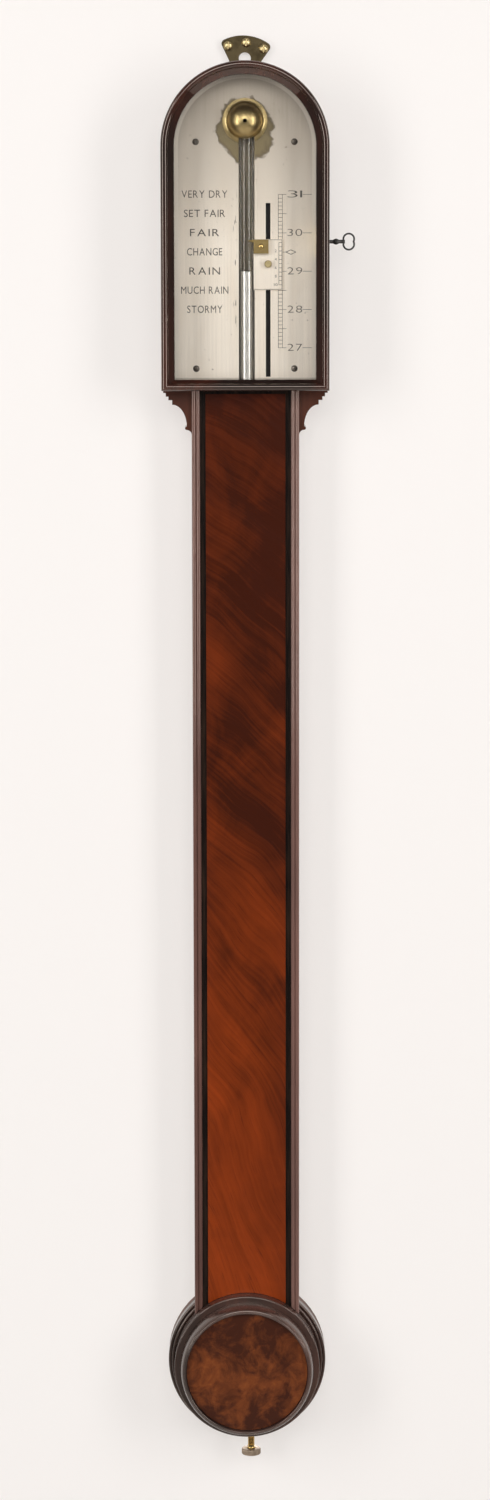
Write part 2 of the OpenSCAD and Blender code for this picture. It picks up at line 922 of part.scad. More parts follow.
module glazing_bead() {
    color("#38211b")
        difference() {
            slab(door_back + door_gap, glass_back)
                arch_shape(rabbet_r - fit, floor_z - rabbet_w + fit);
            slab(door_back - over, glass_back + over)
                arch_shape(open_r, floor_z);
        }
}

module base_moulding_right() {
    top = head_z;
    color("#2c1a16")
        slab(0, bracket_depth)
            polygon([
                [trunk_r, top],
                [trunk_r + moulding_reach, top],
                [trunk_r + moulding_reach, top - moulding_step_h],
                [trunk_r + moulding_reach - moulding_step_w, top - moulding_step_h],
                [trunk_r + moulding_reach - moulding_step_w, top - 2 * moulding_step_h],
                [trunk_r + moulding_reach - 2 * moulding_step_w, top - 2 * moulding_step_h],
                [trunk_r + moulding_reach - 2 * moulding_step_w, top - 3 * moulding_step_h],
                [trunk_r, top - 3 * moulding_step_h]
            ]);
}

module base_moulding_left() {
    mirror([1, 0, 0])
        base_moulding_right();
}

module bracket_right() {
    top = head_z - 3 * moulding_step_h;
    cove_top = top - ear_h;
    nub_x = trunk_r + ear_reach - cove_r;
    cove_h = 1.5 * cove_r;
    nub_z = cove_top - cove_h;
    nub_r = 1.2;
    ogee_r = nub_x - trunk_r;
    cove = [for (p = arc(0, 0, 1, 90, 180, 10))
        [trunk_r + ear_reach + p[0] * cove_r, cove_top + (p[1] - 1) * cove_h]];
    nub = arc(nub_x, nub_z - nub_r, nub_r, 90, -90, 6);
    ogee = arc(nub_x, nub_z - 2 * nub_r - ogee_r, ogee_r, 90, 180, 6);
    color("#2c1a16")
        slab(0, bracket_depth)
            polygon(concat([[trunk_r, top], [trunk_r + ear_reach, top]], cove, nub, ogee));
}

module bracket_left() {
    mirror([1, 0, 0])
        bracket_right();
}

module trunk_stile_right() {
    color("#331e19")
        difference() {
            run_up(stile_foot, head_z) {
                polygon([
                    [stile_in, board_t],
                    [trunk_r, board_t],
                    [trunk_r, stile_face],
                    [string_out, stile_face],
                    [string_out, ledge_t],
                    [stile_in, ledge_t]
                ]);
                for (x = [string_out + stile_bead_r, trunk_r - stile_bead_r])
                    translate([x, stile_face])
                        circle(stile_bead_r);
            }
            drum_cut();
        }
}

module trunk_stile_left() {
    mirror([1, 0, 0])
        trunk_stile_right();
}

module stringing_right() {
    color("#151214")
        difference() {
            block(string_in, string_out, ledge_t, ledge_t + string_t, stile_foot, head_z - cross_h);
            drum_cut();
        }
}

module stringing_left() {
    mirror([1, 0, 0])
        stringing_right();
}

module stringing_top() {
    color("#151214")
        block(-string_out, string_out, ledge_t, ledge_t + string_t, head_z - cross_h, head_z);
}

module trunk_panel() {
    color("#7a3a1e")
        difference() {
            block(-panel_r, panel_r, ledge_t, ledge_t + panel_t, stile_foot, head_z - cross_h);
            drum_cut();
        }
}

module drum_body() {
    edge = drum_r - cover_r;
    bead_r = edge / 4;
    outer_face = ring_depth - ring_step - bead_r;
    inner_face = ring_depth - bead_r;
    color("#33201a")
        difference() {
            turned(0, drum_z) {
                polygon([
                    [hollow_r, board_t],
                    [drum_r, board_t],
                    [drum_r, outer_face],
                    [drum_r - 2 * bead_r, outer_face],
                    [drum_r - 2 * bead_r, inner_face],
                    [cover_r, inner_face],
                    [cover_r, cover_joint],
                    [hollow_r, cover_joint]
                ]);
                translate([drum_r - bead_r, outer_face])
                    circle(bead_r);
                translate([drum_r - 3 * bead_r, inner_face])
                    circle(bead_r);
            }
            block(tube_x - channel_hw, tube_x + channel_hw, board_t - over, cover_joint + over,
                drum_z + hollow_r / 2, drum_z + drum_r + over);
            post(cistern_x, cistern_depth, bush_bottom - over, drum_z, bush_r + fit / 2);
        }
}

module drum_cover() {
    step_r = cover_r - step_w;
    rim_out = rim_in + 2 * rim_r;
    rim_base = drum_depth - rim_r;
    band_edge = arc(cover_r - band_edge_r, band_depth - band_edge_r, band_edge_r, 0, 90, 6);
    ovolo = [for (i = [0:10]) let (a = 9 * i)
        [rim_out + (step_r - rim_out) * cos(a), band_depth + (rim_base - band_depth) * sin(a)]];
    roof = burr_back - cover_floor;
    color("#3a241c")
        turned(0, drum_z) {
            polygon(concat(
                [[hollow_r, cover_joint], [cover_r, cover_joint]],
                band_edge,
                ovolo,
                [[rim_in, rim_base], [rim_in, burr_back], [0, burr_back]],
                [[0, roof], [hollow_r - roof_chamfer, roof], [hollow_r, roof - roof_chamfer]]
            ));
            translate([rim_in + rim_r, rim_base])
                circle(rim_r);
        }
}

module burr_panel() {
    color("#8a4a26")
        peg(0, drum_z, burr_back, burr_front, burr_r);
}

module screw_bush() {
    color("#b08d45")
        difference() {
            post(cistern_x, cistern_depth, bush_bottom, bush_top, bush_r);
            post(cistern_x, cistern_depth, bush_bottom - over, bush_top + over, screw_r + run);
        }
}

module cistern_box() {
    neck_r = cistern_r - leather_t - fit;
    color("#c79a5a")
        difference() {
            union() {
                post(cistern_x, cistern_depth, box_bottom + collar_h, box_top, cistern_r);
                post(cistern_x, cistern_depth, box_bottom, box_top, neck_r);
            }
            post(cistern_x, cistern_depth, box_bottom - over, box_top + over, box_in_r);
        }
}

module cistern_lid() {
    color("#c79a5a")
        difference() {
            union() {
                post(cistern_x, cistern_depth, box_top, lid_top, cistern_r);
                post(cistern_x, cistern_depth, box_top - lid_plug, lid_top, box_in_r - fit);
            }
            post(tube_x, tube_depth, box_top - lid_plug - over, lid_top + over, tube_r + run);
        }
}

module cistern_mercury() {
    color("#b9bcc0")
        difference() {
            post(cistern_x, cistern_depth, box_bottom, surface_z, box_in_r - fit);
            post(tube_x, tube_depth, tube_end, surface_z + over, tube_r + run);
        }
}

module leather_bag() {
    sack_r = 4;
    sack_in = 1.5;
    sack = arc(pad_r, bag_bottom + sack_r, sack_r, 270, 330, 5);
    throat = box_bottom - leather_t;
    color("#8a6a48")
        translate([cistern_x, -cistern_depth, 0])
            rotate_extrude()
                polygon(concat(
                    [[0, bag_bottom]],
                    sack,
                    [[cistern_r, throat], [cistern_r, box_bottom + collar_h - fit]],
                    [[cistern_r - leather_t, box_bottom + collar_h - fit], [cistern_r - leather_t, throat]],
                    [[pad_r + sack_in, bag_bottom + sack_r], [pad_r - leather_t, bag_bottom + leather_t]],
                    [[0, bag_bottom + leather_t]]
                ));
}

module pressure_pad() {
    color("#9a7440")
        post(cistern_x, cistern_depth, pad_bottom, bag_bottom, pad_r);
}

module cistern_screw() {
    grip = 0.5;
    color("#a08048") {
        post(cistern_x, cistern_depth, screw_head_top, pad_bottom, screw_r);
        translate([cistern_x, -cistern_depth, screw_head_top - screw_head_h])
            rotate_extrude()
                polygon([
                    [0, 0],
                    [screw_head_r - grip, 0],
                    [screw_head_r, grip],
                    [screw_head_r, screw_head_h - grip],
                    [screw_head_r - grip, screw_head_h],
                    [0, screw_head_h]
                ]);
    }
}

module hanger_plate() {
    color("#7a6a3a")
        difference() {
            slab(0, hanger_t)
                hanger_shape();
            peg(0, 0, -over, hanger_t + over, hang_r);
            for (p = fan_screw_places())
                at_hanger(p[0], p[1])
                    peg(0, 0, -over, hanger_t + over, hanger_shank_r + run);
            for (z = tail_screw_zs)
                at_hanger(0, z)
                    tail_screw(run, over);
        }
}

function fan_screw_places() =
    [[-fan_screw_x, fan_screw_z], [0, fan_screw_mid_z], [fan_screw_x, fan_screw_z]];

module hanger_screws() {
    color("#c9a24a")
        for (p = fan_screw_places())
            at_hanger(p[0], p[1]) {
                round_head(0, 0, hanger_t, hanger_screw_r, hanger_head_h);
                peg(0, 0, 0, hanger_t, hanger_shank_r);
            }
}

module hanger_back_screws() {
    color("#a08048")
        for (z = tail_screw_zs)
            at_hanger(0, z)
                tail_screw(0, 0);
}

backboard();
head_case();
plate_bed();
base_moulding_left();
base_moulding_right();
bracket_left();
bracket_right();
trunk_stile_left();
trunk_stile_right();
stringing_left();
stringing_right();
stringing_top();
trunk_panel();
drum_body();
drum_cover();
burr_panel();
hanger_plate();
hanger_screws();
hanger_back_screws();
register_plate();
plate_screws();
dome_cap();
glass_tube();
mercury_column();
cistern_box();
cistern_lid();
cistern_mercury();
leather_bag();
screw_bush();
lock_box();
hinge_leaves_case();
hinge_pins();
door_frame();
door_glass();
glazing_bead();
hinge_leaves_door();
door_catch();
vernier_plate();
pointer_block();
vernier_knob();
vernier_nut();
key();
lock_bolt();
pressure_pad();
cistern_screw();
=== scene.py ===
"""Dresses the stick barometer: wood, brass and silvering, the engraved dial, small fittings and a stage."""

import json
import math

import bmesh
import bpy
from mathutils import Matrix, Vector


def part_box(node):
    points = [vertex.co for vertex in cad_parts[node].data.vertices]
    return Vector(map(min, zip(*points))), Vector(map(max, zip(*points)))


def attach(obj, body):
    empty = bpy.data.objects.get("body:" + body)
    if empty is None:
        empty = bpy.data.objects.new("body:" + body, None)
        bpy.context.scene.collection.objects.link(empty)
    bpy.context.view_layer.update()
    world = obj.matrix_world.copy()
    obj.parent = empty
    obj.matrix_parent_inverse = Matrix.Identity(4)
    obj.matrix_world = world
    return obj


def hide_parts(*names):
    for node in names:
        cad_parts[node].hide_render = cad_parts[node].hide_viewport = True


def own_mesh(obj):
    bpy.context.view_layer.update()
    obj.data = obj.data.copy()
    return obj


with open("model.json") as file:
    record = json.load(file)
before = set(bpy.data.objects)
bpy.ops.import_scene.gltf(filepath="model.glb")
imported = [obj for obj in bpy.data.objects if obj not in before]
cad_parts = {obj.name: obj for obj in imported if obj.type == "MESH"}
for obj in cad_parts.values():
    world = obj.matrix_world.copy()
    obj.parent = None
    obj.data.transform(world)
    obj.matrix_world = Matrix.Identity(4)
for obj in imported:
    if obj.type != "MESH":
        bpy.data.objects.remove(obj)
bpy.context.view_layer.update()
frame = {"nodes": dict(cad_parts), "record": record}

bl_info = {
    "name": "Stick Barometer Dressing",
    "version": (1, 0, 0),
    "blender": (4, 5, 0),
    "location": "View3D > Sidebar > Barometer",
    "description": "Finishes and engraving for a stick barometer",
    "category": "Object",
}

MM = 0.001
# Corners closer than this become one
WELD = 1e-7

# Boxes of the solids that the dressing is fitted to, as low and high corners
PLATE_LOW, PLATE_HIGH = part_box("register_plate")
DOME_LOW, DOME_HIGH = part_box("dome_cap")
VERNIER_LOW, VERNIER_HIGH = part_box("vernier_plate")
BLOCK_LOW, BLOCK_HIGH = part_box("pointer_block")
PANEL_LOW, PANEL_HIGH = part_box("trunk_panel")
BURR_LOW, BURR_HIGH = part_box("burr_panel")
SCREW_LOW, SCREW_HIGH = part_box("cistern_screw")
TUBE_LOW, TUBE_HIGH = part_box("glass_tube")
BAG_LOW, BAG_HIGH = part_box("leather_bag")
BOX_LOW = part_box("cistern_box")[0]

# The scale runs down from this number of inches, over so many inches
SCALE_TOP = 31
SCALE_INCHES = 4
# Weather words from the top mark down, half an inch apart, each with its width
WEATHER = (("VERY DRY", 30.5 * MM), ("SET FAIR", 27.5 * MM), ("FAIR", 19.5 * MM), ("CHANGE", 23.5 * MM),
           ("RAIN", 20.5 * MM), ("MUCH RAIN", 31.5 * MM), ("STORMY", 23.5 * MM))

# Stage: each backdrop's place, turn about X in degrees, and half size
BACKDROPS = (("wall", (0.0, 1.5 * MM, 0.0), 90.0, 4.0),
             ("floor", (0.0, -3.0, -3.0), 0.0, 3.0))
# Share of its own white that a backdrop shows to the camera, in metal and through glass
BACKDROP_GLOW = 0.55
# Strength of the room as light, and as the camera sees it past the backdrops
ROOM_LIGHT = 0.12
ROOM_SEEN = 0.82
# Each lamp's place, width and height, and power in watts
LAMPS = (("softbox_over", (0.0, -3.6, 1.15), (2.6, 1.5), 55.0),
         ("softbox_left", (-1.8, -1.7, 0.1), (0.7, 1.9), 29.5),
         ("softbox_right", (1.8, -1.7, 0.1), (0.7, 1.9), 29.0),
         ("softbox_back", (0.0, 3.0, 0.2), (0.7, 0.7), 45.0))
LAMP_AIM = (0.0, 0.0, -0.5)
CAMERA_SPOT = (0.0, -2.755, -0.0688)
CAMERA_DIP = 8.2
CAMERA_ROLL = 0.1
CAMERA_LENS = 97.8
CAMERA_SENSOR = 36.0


class BarometerSizes(bpy.types.PropertyGroup):
    """Sizes of the engraving and the small fittings."""

    inch: bpy.props.FloatProperty(
        name="Inch of mercury", description="Height of one inch on the scale", default=25.4 * MM,
        unit="LENGTH")
    top_mark: bpy.props.FloatProperty(
        name="Top mark", description="Height of the mark for 31 inches", default=-89.65 * MM,
        unit="LENGTH")
    cut: bpy.props.FloatProperty(
        name="Engraved line", description="Width of an engraved line", default=0.3 * MM,
        unit="LENGTH")
    relief: bpy.props.FloatProperty(
        name="Relief", description="Height of the wax filling over the plate", default=0.03 * MM,
        unit="LENGTH")
    ladder_x: bpy.props.FloatProperty(
        name="Ladder", description="Distance of the ladder's right rail from the centre line",
        default=24.8 * MM, unit="LENGTH")
    ladder_w: bpy.props.FloatProperty(
        name="Ladder width", description="Width of the ladder", default=2.7 * MM, unit="LENGTH")
    numeral_h: bpy.props.FloatProperty(
        name="Numerals", description="Height of the scale's numerals", default=6.9 * MM, unit="LENGTH")
    word_h: bpy.props.FloatProperty(
        name="Words", description="Size of the weather words", default=7.0 * MM, unit="LENGTH")
    knurls: bpy.props.IntProperty(
        name="Knurls", description="Grooves round the portable screw's head", default=44, min=12)
    pleats: bpy.props.IntProperty(
        name="Pleats", description="Gathers round the leather bag", default=14, min=6)


class BarometerColours(bpy.types.PropertyGroup):
    """Colours of the finishes, in linear light."""

    dark_wood: bpy.props.FloatVectorProperty(
        name="Dark wood", description="Ebonised mouldings", subtype="COLOR",
        default=(0.016, 0.0095, 0.0080))
    red_wood: bpy.props.FloatVectorProperty(
        name="Red wood", description="Red that shows through the dark polish", subtype="COLOR",
        default=(0.072, 0.019, 0.011))
    flame_dark: bpy.props.FloatVectorProperty(
        name="Flame, dark", description="Dark figure of the trunk panel", subtype="COLOR",
        default=(0.046, 0.0078, 0.0022))
    flame_light: bpy.props.FloatVectorProperty(
        name="Flame, light", description="Light figure of the trunk panel", subtype="COLOR",
        default=(0.28, 0.041, 0.0052))
    burr_dark: bpy.props.FloatVectorProperty(
        name="Burr, dark", description="Dark figure of the drum's disc", subtype="COLOR",
        default=(0.052, 0.0135, 0.0058))
    burr_light: bpy.props.FloatVectorProperty(
        name="Burr, light", description="Light figure of the drum's disc", subtype="COLOR",
        default=(0.25, 0.064, 0.0155))
    brass: bpy.props.FloatVectorProperty(
        name="Brass", description="Bright brass", subtype="COLOR", default=(0.70, 0.56, 0.29))
    old_brass: bpy.props.FloatVectorProperty(
        name="Old brass", description="Dark brass of the hanger", subtype="COLOR",
        default=(0.088, 0.067, 0.035))
    silver: bpy.props.FloatVectorProperty(
        name="Silvering", description="Silvered dial", subtype="COLOR", default=(0.97, 0.87, 0.735))
    tarnish: bpy.props.FloatVectorProperty(
        name="Tarnish", description="Brown stain round the dome", subtype="COLOR",
        default=(0.19, 0.142, 0.058))
    wax: bpy.props.FloatVectorProperty(
        name="Wax", description="Filling of the engraving", subtype="COLOR",
        default=(0.075, 0.065, 0.053))
    wall: bpy.props.FloatVectorProperty(
        name="Wall", description="Wall behind the barometer", subtype="COLOR",
        default=(0.93, 0.885, 0.855))


def sizes():
    """The sizes that the panel shows."""
    return bpy.context.scene.barometer_sizes


def colours():
    """The colours that the panel shows."""
    return bpy.context.scene.barometer_colours


def centre_of(low, high):
    """The middle of a box."""
    return [(first + second) / 2 for first, second in zip(low, high)]


# Node helpers

def plug(tree, value, socket):
    """Links an output to an input, or sets the input to a value."""
    if isinstance(value, bpy.types.NodeSocket):
        tree.links.new(value, socket)
    else:
        socket.default_value = value


def add(tree, kind, inputs=None, **settings):
    """Adds a shader node, sets its options, and fills its inputs from values or sockets."""
    made = tree.nodes.new(kind)
    for key, value in settings.items():
        setattr(made, key, value)
    for key, value in (inputs or {}).items():
        plug(tree, value, made.inputs[key])
    return made


def finish(name):
    """A new material with its tree and its shader."""
    material = bpy.data.materials.new(name)
    material.use_nodes = True
    tree = material.node_tree
    return material, tree, tree.nodes["Principled BSDF"]


def place(tree, stretch=(1, 1, 1), shift=(0, 0, 0)):
    """Object coordinates, stretched and then shifted."""
    source = add(tree, "ShaderNodeTexCoord").outputs["Object"]
    mapped = add(tree, "ShaderNodeMapping", {"Vector": source, "Scale": stretch, "Location": shift})
    return mapped.outputs["Vector"]


def axes_of(tree, where):
    """The X, Y and Z of a position."""
    return add(tree, "ShaderNodeSeparateXYZ", {"Vector": where}).outputs


def length_of(tree, vector):
    """How long a vector is."""
    return add(tree, "ShaderNodeVectorMath", {0: vector}, operation="LENGTH").outputs["Value"]


def cloud(tree, where, scale, detail=4.0, rough=0.55, swirl=0.0):
    """Noise from 0 to 1."""
    made = add(tree, "ShaderNodeTexNoise",
               {"Vector": where, "Scale": scale, "Detail": detail, "Roughness": rough,
                "Distortion": swirl})
    return made.outputs["Fac"]


def fibres(tree, stretch, detail=4.0, rough=0.55, swirl=0.0):
    """Noise of so many waves to the metre along each axis."""
    return cloud(tree, place(tree, stretch), 1.0, detail, rough, swirl)


def spread(tree, value, low, high, out_low=0.0, out_high=1.0):
    """Stretches a value from low..high to out_low..out_high, clamped."""
    made = add(tree, "ShaderNodeMapRange",
               {"Value": value, "From Min": low, "From Max": high, "To Min": out_low,
                "To Max": out_high})
    return made.outputs["Result"]


def blend(tree, amount, first, second):
    """Mixes two colours."""
    made = add(tree, "ShaderNodeMix", {0: amount}, data_type="RGBA")
    for index, value in ((6, first), (7, second)):
        colour = value if isinstance(value, bpy.types.NodeSocket) else (*value, 1.0)
        plug(tree, colour, made.inputs[index])
    return made.outputs[2]


def sums(tree, how, first, second=0.0):
    """One step of arithmetic."""
    return add(tree, "ShaderNodeMath", {0: first, 1: second}, operation=how).outputs[0]


def relief(tree, shader, height, strength, depth):
    """Turns a height into bumps on the shader."""
    made = add(tree, "ShaderNodeBump", {"Height": height, "Strength": strength, "Distance": depth})
    plug(tree, made.outputs["Normal"], shader.inputs["Normal"])


def feed(tree, shader, **inputs):
    """Links or sets the shader's inputs, named with underscores for spaces."""
    for key, value in inputs.items():
        plug(tree, value, shader.inputs[key.replace("_", " ")])


# Finishes

def moulding_wood(name, tint, under, gloss):
    """Polished moulding: a dark polish, worn through along the grain to the wood below it."""
    material, tree, shader = finish(name)
    grain = fibres(tree, (240, 240, 10), 5.0, 0.5)
    patches = fibres(tree, (16, 16, 5), 3.0)
    worn = sums(tree, "MULTIPLY", spread(tree, grain, 0.3, 0.7, 0.35, 1.0),
                spread(tree, patches, 0.4, 0.62))
    rubbed = fibres(tree, (90, 90, 40))
    feed(tree, shader, Base_Color=blend(tree, worn, tint, under),
         Roughness=spread(tree, rubbed, 0.3, 0.75, gloss, gloss + 0.04),
         Specular_IOR_Level=0.9, Specular_Tint=(1.0, 0.84, 0.74, 1.0))
    relief(tree, shader, grain, 0.03, 0.3 * MM)
    return material


def carcase_wood():
    """Plain oiled wood of the backboard."""
    material, tree, shader = finish("carcase_wood")
    grain = fibres(tree, (150, 150, 7), 7.0, 0.62)
    colour = blend(tree, spread(tree, grain, 0.35, 0.7), (0.06, 0.02, 0.011), (0.14, 0.055, 0.025))
    feed(tree, shader, Base_Color=colour, Roughness=0.62)
    relief(tree, shader, grain, 0.25, 0.4 * MM)
    return material


def stained_bed():
    """Bed under the dial: stained black, with pale dust streaks in the groove behind the tube, painted light
    enough to lift the groove's shade.
    """
    material, tree, shader = finish("stained_bed")
    tube_x = centre_of(TUBE_LOW, TUBE_HIGH)[0]
    grain = fibres(tree, (150, 150, 7), 7.0, 0.62)
    streaks = fibres(tree, (700, 700, 8), 4.0, 0.6)
    side = axes_of(tree, place(tree, shift=(-tube_x, 0, 0)))["X"]
    groove = spread(tree, sums(tree, "ABSOLUTE", side), 6.6 * MM, 7.2 * MM, 1.0, 0.0)
    stain = blend(tree, spread(tree, grain, 0.35, 0.7), (0.012, 0.009, 0.008), (0.026, 0.019, 0.015))
    # Dust streaks and painted light: pale enough to lift the shade in the groove behind the tube
    dust_and_painted_light = blend(tree, spread(tree, streaks, 0.35, 0.65), (0.22, 0.19, 0.15), (0.62, 0.55, 0.45))
    feed(tree, shader, Base_Color=blend(tree, groove, stain, dust_and_painted_light), Roughness=0.62)
    relief(tree, shader, grain, 0.25, 0.4 * MM)
    return material


def black_stringing():
    """Black line of inlay with a soft shine."""
    material, tree, shader = finish("black_stringing")
    grain = fibres(tree, (400, 400, 30))
    colour = blend(tree, spread(tree, grain, 0.4, 0.75), (0.008, 0.005, 0.004), (0.030, 0.016, 0.010))
    feed(tree, shader, Base_Color=colour, Roughness=0.22, Specular_IOR_Level=0.22)
    relief(tree, shader, grain, 0.1, 0.3 * MM)
    return material


def flame_mahogany():
    """Trunk panel: flame figure that sweeps down to the right, flatter and darker towards the head."""
    tints = colours()
    material, tree, shader = finish("flame_mahogany")
    top = PANEL_HIGH[2]
    axes = axes_of(tree, place(tree))

    # The figure's lines follow X plus a sweep that grows with the square of the height
    height = sums(tree, "SUBTRACT", axes["Z"], PANEL_LOW[2])
    slope = sums(tree, "ADD", sums(tree, "MULTIPLY", height, 0.95), 0.27)
    warp = fibres(tree, (11, 11, 7), 2.0, 0.5, 0.3)
    sweep = sums(tree, "ADD", sums(tree, "MULTIPLY", height, slope), sums(tree, "MULTIPLY", warp, 0.045))
    along = add(tree, "ShaderNodeCombineXYZ", {
        "X": sums(tree, "ADD", axes["X"], sweep), "Y": axes["Y"], "Z": axes["Z"]}).outputs["Vector"]

    def drawn(stretch, detail, rough=0.55):
        """Noise drawn out along the figure."""
        where = add(tree, "ShaderNodeMapping", {"Vector": along, "Scale": stretch}).outputs["Vector"]
        return cloud(tree, where, 1.0, detail, rough)

    def calmed(value, low, high, swing, swing_top):
        """Stretches a value about its middle, less in the panel's upper part."""
        ends = [spread(tree, axes["Z"], top - 0.3, top, end * swing, end * swing_top)
                for end in (-0.5, 0.5)]
        return spread(tree, value, low, high, *ends)

    figure = drawn((26, 26, 7), 2.0, 0.45)
    streaks = drawn((330, 330, 16), 4.0, 0.6)
    pores = drawn((1500, 1500, 60), 2.0)
    clouds = fibres(tree, (30, 30, 22), 4.0, 0.55, 0.6)
    rise = spread(tree, axes["Z"], PANEL_LOW[2], top - 0.12, -0.23, 0.48)
    light = sums(tree, "SUBTRACT", spread(tree, axes["X"], PANEL_LOW[0], PANEL_HIGH[0], 0.6, 0.46), rise)
    for part in (calmed(figure, 0.25, 0.75, 0.6, 0.1), spread(tree, clouds, 0.3, 0.7, -0.16, 0.16),
                 calmed(streaks, 0.3, 0.7, 0.29, 0.12)):
        light = sums(tree, "ADD", light, part)
    colour = blend(tree, light, tints.flame_dark, tints.flame_light)
    colour = blend(tree, spread(tree, pores, 0.6, 0.74, 0.0, 0.4), colour, (0.022, 0.005, 0.003))
    feed(tree, shader, Base_Color=colour, Roughness=spread(tree, streaks, 0.3, 0.7, 0.14, 0.22),
         Specular_IOR_Level=0.35)
    relief(tree, shader, pores, 0.05, 0.2 * MM)
    return material


def burr_veneer():
    """Mottled burr of the drum's disc, lighter in a belt across the middle."""
    tints = colours()
    material, tree, shader = finish("burr_veneer")
    around = place(tree, shift=[-part for part in centre_of(BURR_LOW, BURR_HIGH)])
    swirl = cloud(tree, around, 34.0, 5.0, 0.62, 1.1)
    curl = cloud(tree, around, 95.0, 7.0, 0.66, 1.3)
    eyes = add(tree, "ShaderNodeTexVoronoi", {"Vector": around, "Scale": 170.0, "Randomness": 1.0})
    height = sums(tree, "ABSOLUTE", axes_of(tree, around)["Z"])
    light = sums(tree, "ADD", spread(tree, swirl, 0.4, 0.64, -0.06, 0.58),
                 spread(tree, curl, 0.36, 0.66, -0.2, 0.26))
    light = sums(tree, "ADD", light, spread(tree, height, 4 * MM, 34 * MM, 0.14, -0.1))
    specks = spread(tree, eyes.outputs["Distance"], 0.0, 0.25, 0.22, 0.0)
    colour = blend(tree, specks, blend(tree, light, tints.burr_dark, tints.burr_light), tints.burr_dark)
    feed(tree, shader, Base_Color=colour, Roughness=spread(tree, curl, 0.3, 0.7, 0.14, 0.22),
         Specular_IOR_Level=0.35)
    relief(tree, shader, curl, 0.03, 0.2 * MM)
    return material


def brass_finish(name, tint, dirt, rough):
    """Brass with fine turning scratches and darker dirt in patches."""
    material, tree, shader = finish(name)
    patches = cloud(tree, place(tree), 160.0, 5.0, 0.6, 0.5)
    scratches = fibres(tree, (2600, 2600, 600), 2.0)
    feed(tree, shader, Base_Color=blend(tree, spread(tree, patches, 0.45, 0.8), tint, dirt), Metallic=1.0,
         Roughness=spread(tree, patches, 0.3, 0.75, rough, rough + 0.22))
    relief(tree, shader, scratches, 0.05, 0.1 * MM)
    return material


def dome_brass():
    """Old brass of the dome: dirt in patches, and painted shade that makes it olive and dull above and
    brighter below.
    """
    material, tree, shader = finish("dome_brass")
    patches = cloud(tree, place(tree), 190.0, 5.0, 0.6, 0.5)
    # Painted shade: the dome darkens with height, standing in for the dark room mirrored in its top
    height = spread(tree, axes_of(tree, place(tree))["Z"], DOME_LOW[2], DOME_HIGH[2])
    # Mixes the painted shade of the height with the real dirt patches
    dull = sums(tree, "ADD", height, spread(tree, patches, 0.3, 0.7, -0.14, 0.14))
    colour = blend(tree, spread(tree, dull, 0.45, 0.75), (0.56, 0.42, 0.19), (0.30, 0.225, 0.105))
    feed(tree, shader, Base_Color=colour, Metallic=1.0, Roughness=spread(tree, dull, 0.3, 0.75, 0.3, 0.42))
    relief(tree, shader, patches, 0.06, 0.3 * MM)
    return material


def dome_reach(tree):
    """Distance from the dome in units of the stain round it, with a ragged edge at 1."""
    across, up = 52, 48
    lift = 6 * MM
    spot = centre_of(DOME_LOW, DOME_HIGH)
    away = place(tree, (across, 0, up), (-spot[0] * across, 0, (lift - spot[2]) * up))
    ragged = cloud(tree, place(tree), 110.0, 3.0, 0.5, 0.4)
    return sums(tree, "ADD", length_of(tree, away), spread(tree, ragged, 0.3, 0.7, -0.11, 0.11))


def clean_margin(tree, axes):
    """Painted light along the dial's edge, paler to lift the shade the door casts there: along the sides and
    round the arch.
    """
    half = (PLATE_HIGH[0] - PLATE_LOW[0]) / 2
    over = sums(tree, "MAXIMUM", sums(tree, "ADD", axes["Z"], half - PLATE_HIGH[2]), 0.0)
    spoke = add(tree, "ShaderNodeCombineXYZ", {"X": axes["X"], "Z": over}).outputs["Vector"]
    return spread(tree, length_of(tree, spoke), half - 2.9 * MM, half - 2.3 * MM, 0.0, 0.6)


def tube_marks(tree, axes):
    """Short dark marks in a line on the left of the tube."""
    line_x = -6.8 * MM
    away = sums(tree, "ABSOLUTE", sums(tree, "SUBTRACT", axes["X"], line_x))
    marks = spread(tree, fibres(tree, (520, 1, 95), 2.0), 0.6, 0.66, 0.0, 0.75)
    return sums(tree, "MULTIPLY", spread(tree, away, 0.6 * MM, 1.6 * MM, 1.0, 0.0), marks)


def silvered_brass():
    """Silvered dial: pale, faintly brushed, freckled, with painted shade greying it towards the top under
    the door's arch and a painted light band along its edge, stained brown round the dome.
    """
    tints = colours()
    material, tree, shader = finish("silvered_brass")
    axes = axes_of(tree, place(tree))
    brushed = fibres(tree, (900, 900, 14), 3.0)
    blotch = fibres(tree, (60, 60, 14), 5.0, 0.6, 0.7)
    freckles = cloud(tree, place(tree), 420.0, 3.0, 0.5)
    reach = dome_reach(tree)
    outline = sums(tree, "MULTIPLY", spread(tree, reach, 0.86, 0.97),
                   spread(tree, reach, 0.97, 1.03, 0.6, 0.0))
    colour = tints.silver
    for amount, tint in (
            (spread(tree, blotch, 0.36, 0.68, 0.0, 0.7), (0.88, 0.765, 0.62)),
            # Painted shade: greyer towards the top, standing in for the shade the door's arch casts on the
            # dial
            (spread(tree, axes["Z"], -125 * MM, -35 * MM, 0.0, 0.85), (0.40, 0.34, 0.265)),
            (spread(tree, brushed, 0.4, 0.7, 0.0, 0.25), (0.64, 0.565, 0.475)),
            (spread(tree, freckles, 0.7, 0.78, 0.0, 0.6), (0.22, 0.17, 0.12)),
            (spread(tree, reach, 0.94, 1.01, 0.95, 0.0), tints.tarnish),
            (outline, (0.075, 0.052, 0.025)),
            # Painted light: a paler band along the dial's edge, set against the door's shade
            (clean_margin(tree, axes), (0.88, 0.81, 0.69)),
            (tube_marks(tree, axes), (0.12, 0.095, 0.06))):
        colour = blend(tree, amount, colour, tint)
    feed(tree, shader, Base_Color=colour, Metallic=0.08,
         Roughness=spread(tree, blotch, 0.3, 0.7, 0.42, 0.6))
    relief(tree, shader, brushed, 0.05, 0.2 * MM)
    return material


